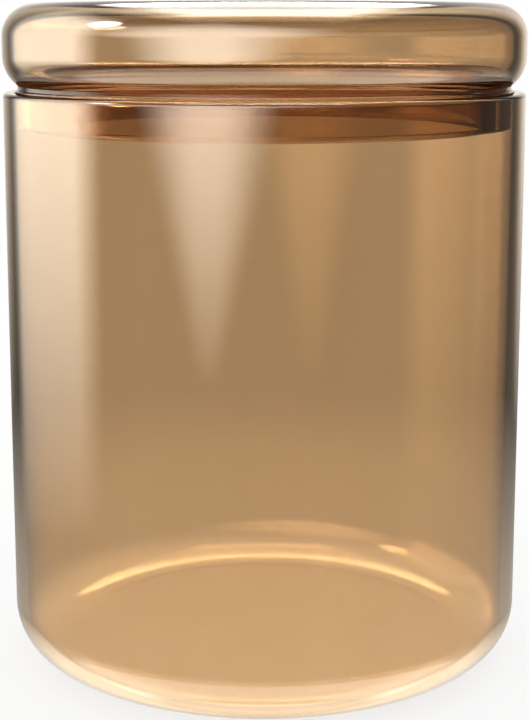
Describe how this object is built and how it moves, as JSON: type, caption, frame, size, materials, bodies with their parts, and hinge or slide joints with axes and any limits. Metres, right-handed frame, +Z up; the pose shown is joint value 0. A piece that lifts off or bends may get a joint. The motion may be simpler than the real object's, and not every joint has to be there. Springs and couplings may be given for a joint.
{
  "type": "apothecary jar",
  "caption": "Round amber glass storage jar with a rounded foot and a hollow glass stopper lid whose plug seals in the mouth with a clear silicone sleeve.",
  "frame": {"origin": "centre of the flat face under the jar, on the surface that it stands on", "axes": "+Z up along the axis of the jar and the lid, +X to the right and +Y to the back of the pictured view"},
  "size_m": [0.1, 0.1, 0.1269],
  "materials": {
    "jar_glass": "clear amber glass, fire polished",
    "lid_glass": "clear amber glass, fire polished",
    "seal_silicone": "clear silicone, smooth"
  },
  "bodies": {
    "jar": {"jar_body": "jar_glass"},
    "seal": {"seal_ring": "seal_silicone"},
    "lid": {"lid": "lid_glass"}
  },
  "joints": [
    {"name": "lid_lift", "type": "slide", "parent": "jar", "child": "seal", "axis": [0, 0, 1], "range_m": [0, 0.12]},
    {"name": "lid_turn", "type": "hinge", "parent": "seal", "child": "lid", "pos_m": [0, 0, 0.1104], "axis": [0, 0, 1], "continuous": true}
  ]
}
